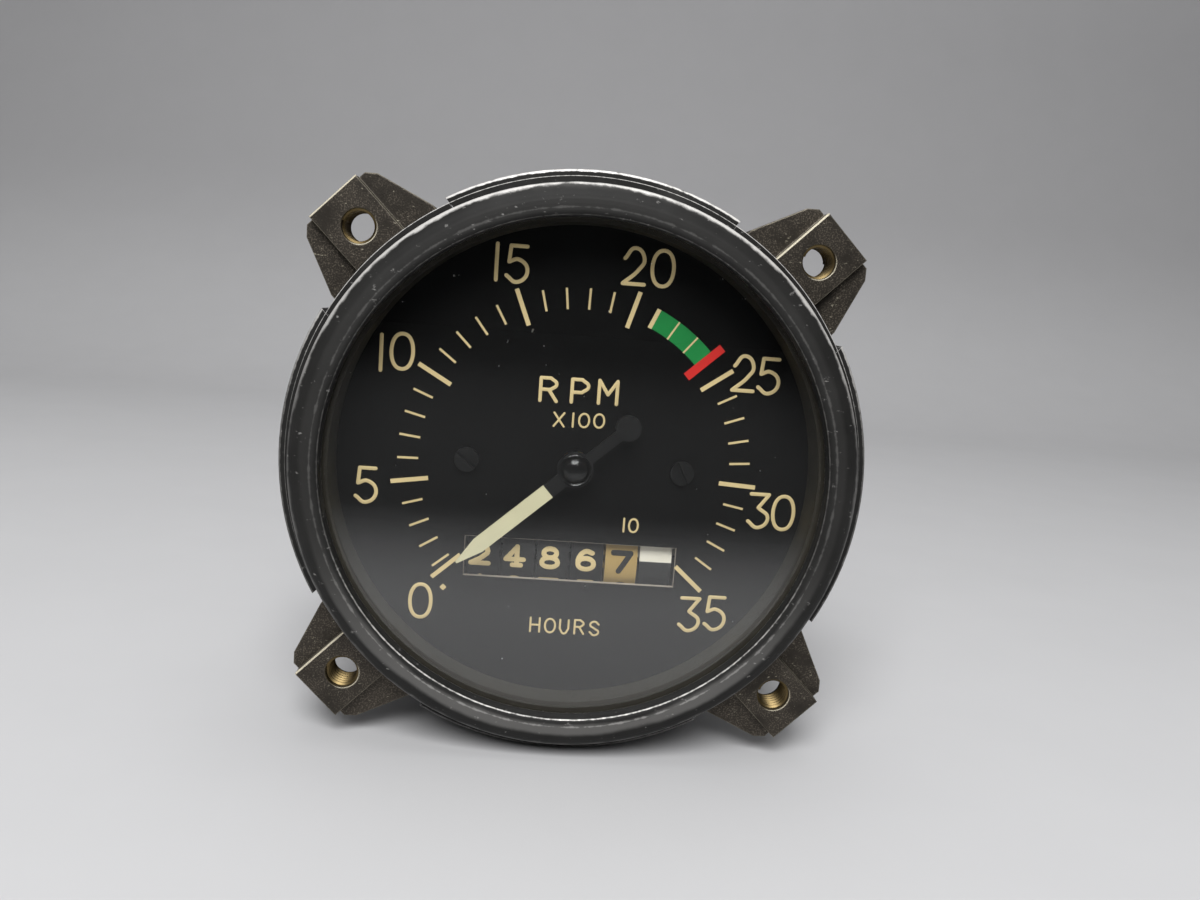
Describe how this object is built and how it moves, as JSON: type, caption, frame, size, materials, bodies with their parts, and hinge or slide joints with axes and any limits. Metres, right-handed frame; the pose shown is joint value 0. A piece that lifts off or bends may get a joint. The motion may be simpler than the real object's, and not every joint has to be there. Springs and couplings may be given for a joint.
{
  "type": "aircraft tachometer",
  "caption": "Round panel instrument with a drag-cup pointer over a dial of engine speed, a drum counter for running hours in a window, lugs for panel screws and a rear cable drive boss.",
  "frame": {"origin": "centre of the circle through the lug holes, on the plane of the lug pads that meets the back of the panel", "axes": "-Y out of the dial towards the viewer, +Y towards the cable drive, +X to the right of the dial, +Z to its top"},
  "size_m": [0.0826, 0.084, 0.0826],
  "materials": {
    "case_black": "worn satin black paint",
    "lug_bronze": "dark bronze with worn bright edges",
    "bezel_black": "satin black paint with scuffs",
    "gasket_rubber": "matt",
    "clear_glass": "clear, polished",
    "spacer_black": "matt black",
    "dial_black": "matt black with cream markings",
    "screw_black": "black",
    "boss_metal": "turned",
    "jewel_red": "polished",
    "magnet_grey": "ground",
    "pointer_cream": "cream paint on the blade, black tail",
    "hub_black": "glossy",
    "drum_white": "half white, half black",
    "drum_cream": "cream with black numbers",
    "drum_black": "black with cream numbers",
    "pinion_white": "moulded",
    "brass": "turned",
    "aluminium": "machined",
    "steel": "ground"
  },
  "bodies": {
    "case": {"case_shell": "case_black", "mounting_ring": "lug_bronze", "bezel_ring": "bezel_black", "glass_gasket": "gasket_rubber", "cover_glass": "clear_glass", "inner_spacer": "spacer_black", "dial_plate": "dial_black", "dial_screws": "screw_black", "dial_posts": "brass", "front_plate": "aluminium", "rear_plate": "aluminium", "pillars": "brass", "pillar_screws": "steel", "rear_posts": "brass", "frame_screws": "steel", "drive_boss": "boss_metal", "boss_screws": "steel", "main_bushing": "brass", "plate_bushing": "brass", "field_ring": "steel", "front_jewel": "jewel_red", "spring_stud": "brass", "stop_pin": "steel", "counter_frame": "steel", "counter_screws": "steel", "counter_axle": "steel", "pinion_carriers": "steel", "shaft_brackets": "aluminium", "bracket_screws": "steel"},
    "drive": {"drive_shaft": "steel", "drive_worm": "steel", "magnet": "magnet_grey", "magnet_hub": "brass", "thrust_washer": "brass", "rear_jewel": "jewel_red"},
    "indicator_pointer": {"staff": "steel", "drag_cup": "aluminium", "cup_hub": "brass", "spring_collet": "brass", "hairspring": "brass", "pointer": "pointer_cream", "pointer_hub": "hub_black"},
    "cross": {"cross_shaft": "steel", "cross_wheel": "brass", "cross_worm": "steel"},
    "upright": {"upright_shaft": "steel", "upright_wheel": "brass", "upright_worm": "steel"},
    "indicator": {"indicator_drum": "drum_white", "counter_wheel": "brass"},
    "wheel_1": {"number_wheel_1": "drum_black"},
    "wheel_2": {"number_wheel_2": "drum_black"},
    "wheel_3": {"number_wheel_3": "drum_black"},
    "wheel_4": {"number_wheel_4": "drum_black"},
    "wheel_5": {"number_wheel_5": "drum_cream"},
    "carry_1": {"pinion_1": "pinion_white"},
    "carry_2": {"pinion_2": "pinion_white"},
    "carry_3": {"pinion_3": "pinion_white"},
    "carry_4": {"pinion_4": "pinion_white"},
    "carry_5": {"pinion_5": "pinion_white"}
  },
  "joints": [
    {"name": "drive_spin", "type": "hinge", "parent": "case", "child": "drive", "pos_m": [0, 0.05, 0], "axis": [0, 1, 0], "continuous": true},
    {"name": "pointer_swing", "type": "hinge", "parent": "case", "child": "indicator_pointer", "pos_m": [0, 0.0017, 0], "axis": [0, 1, 0], "range_deg": [0, 263.4], "stiffness_Nm_per_rad": 0.0001, "deforming": ["hairspring"]},
    {"name": "cross_spin", "type": "hinge", "parent": "case", "child": "cross", "pos_m": [0, 0.0565, 0.0068], "axis": [1, 0, 0], "continuous": true},
    {"name": "upright_spin", "type": "hinge", "parent": "case", "child": "upright", "pos_m": [0.01956, 0.03, -0.0051], "axis": [0, 1, 0], "continuous": true},
    {"name": "indicator_spin", "type": "hinge", "parent": "case", "child": "indicator", "pos_m": [0.01305, 0.0143, -0.0143], "axis": [1, 0, 0], "continuous": true},
    {"name": "wheel_5_spin", "type": "hinge", "parent": "case", "child": "wheel_5", "pos_m": [0.00795, 0.0143, -0.0143], "axis": [1, 0, 0], "continuous": true},
    {"name": "wheel_4_spin", "type": "hinge", "parent": "case", "child": "wheel_4", "pos_m": [0.00285, 0.0143, -0.0143], "axis": [1, 0, 0], "continuous": true},
    {"name": "wheel_3_spin", "type": "hinge", "parent": "case", "child": "wheel_3", "pos_m": [-0.00225, 0.0143, -0.0143], "axis": [1, 0, 0], "continuous": true},
    {"name": "wheel_2_spin", "type": "hinge", "parent": "case", "child": "wheel_2", "pos_m": [-0.00735, 0.0143, -0.0143], "axis": [1, 0, 0], "continuous": true},
    {"name": "wheel_1_spin", "type": "hinge", "parent": "case", "child": "wheel_1", "pos_m": [-0.01245, 0.0143, -0.0143], "axis": [1, 0, 0], "continuous": true},
    {"name": "carry_5_spin", "type": "hinge", "parent": "case", "child": "carry_5", "pos_m": [0.00795, 0.0185, -0.0143], "axis": [1, 0, 0], "continuous": true},
    {"name": "carry_4_spin", "type": "hinge", "parent": "case", "child": "carry_4", "pos_m": [0.00285, 0.0185, -0.0143], "axis": [1, 0, 0], "continuous": true},
    {"name": "carry_3_spin", "type": "hinge", "parent": "case", "child": "carry_3", "pos_m": [-0.00225, 0.0185, -0.0143], "axis": [1, 0, 0], "continuous": true},
    {"name": "carry_2_spin", "type": "hinge", "parent": "case", "child": "carry_2", "pos_m": [-0.00735, 0.0185, -0.0143], "axis": [1, 0, 0], "continuous": true},
    {"name": "carry_1_spin", "type": "hinge", "parent": "case", "child": "carry_1", "pos_m": [-0.01245, 0.0185, -0.0143], "axis": [1, 0, 0], "continuous": true}
  ],
  "couplings": [
    {"joint": "cross_spin", "follows": "drive_spin", "ratio": -0.083333},
    {"joint": "upright_spin", "follows": "drive_spin", "ratio": 0.0027778},
    {"joint": "indicator_spin", "follows": "drive_spin", "ratio": 0.00013889},
    {"joint": "wheel_5_spin", "follows": "drive_spin", "ratio": 0.000013889},
    {"joint": "wheel_4_spin", "follows": "drive_spin", "ratio": 0.0000013889},
    {"joint": "wheel_3_spin", "follows": "drive_spin", "ratio": 0.00000013889},
    {"joint": "wheel_2_spin", "follows": "drive_spin", "ratio": 0.000000013889},
    {"joint": "wheel_1_spin", "follows": "drive_spin", "ratio": 0.0000000013889},
    {"joint": "carry_5_spin", "follows": "drive_spin", "ratio": 0.000046296},
    {"joint": "carry_4_spin", "follows": "drive_spin", "ratio": 0.0000046296},
    {"joint": "carry_3_spin", "follows": "drive_spin", "ratio": 0.00000046296},
    {"joint": "carry_2_spin", "follows": "drive_spin", "ratio": 0.000000046296},
    {"joint": "carry_1_spin", "follows": "drive_spin", "ratio": 0.0000000046296}
  ]
}
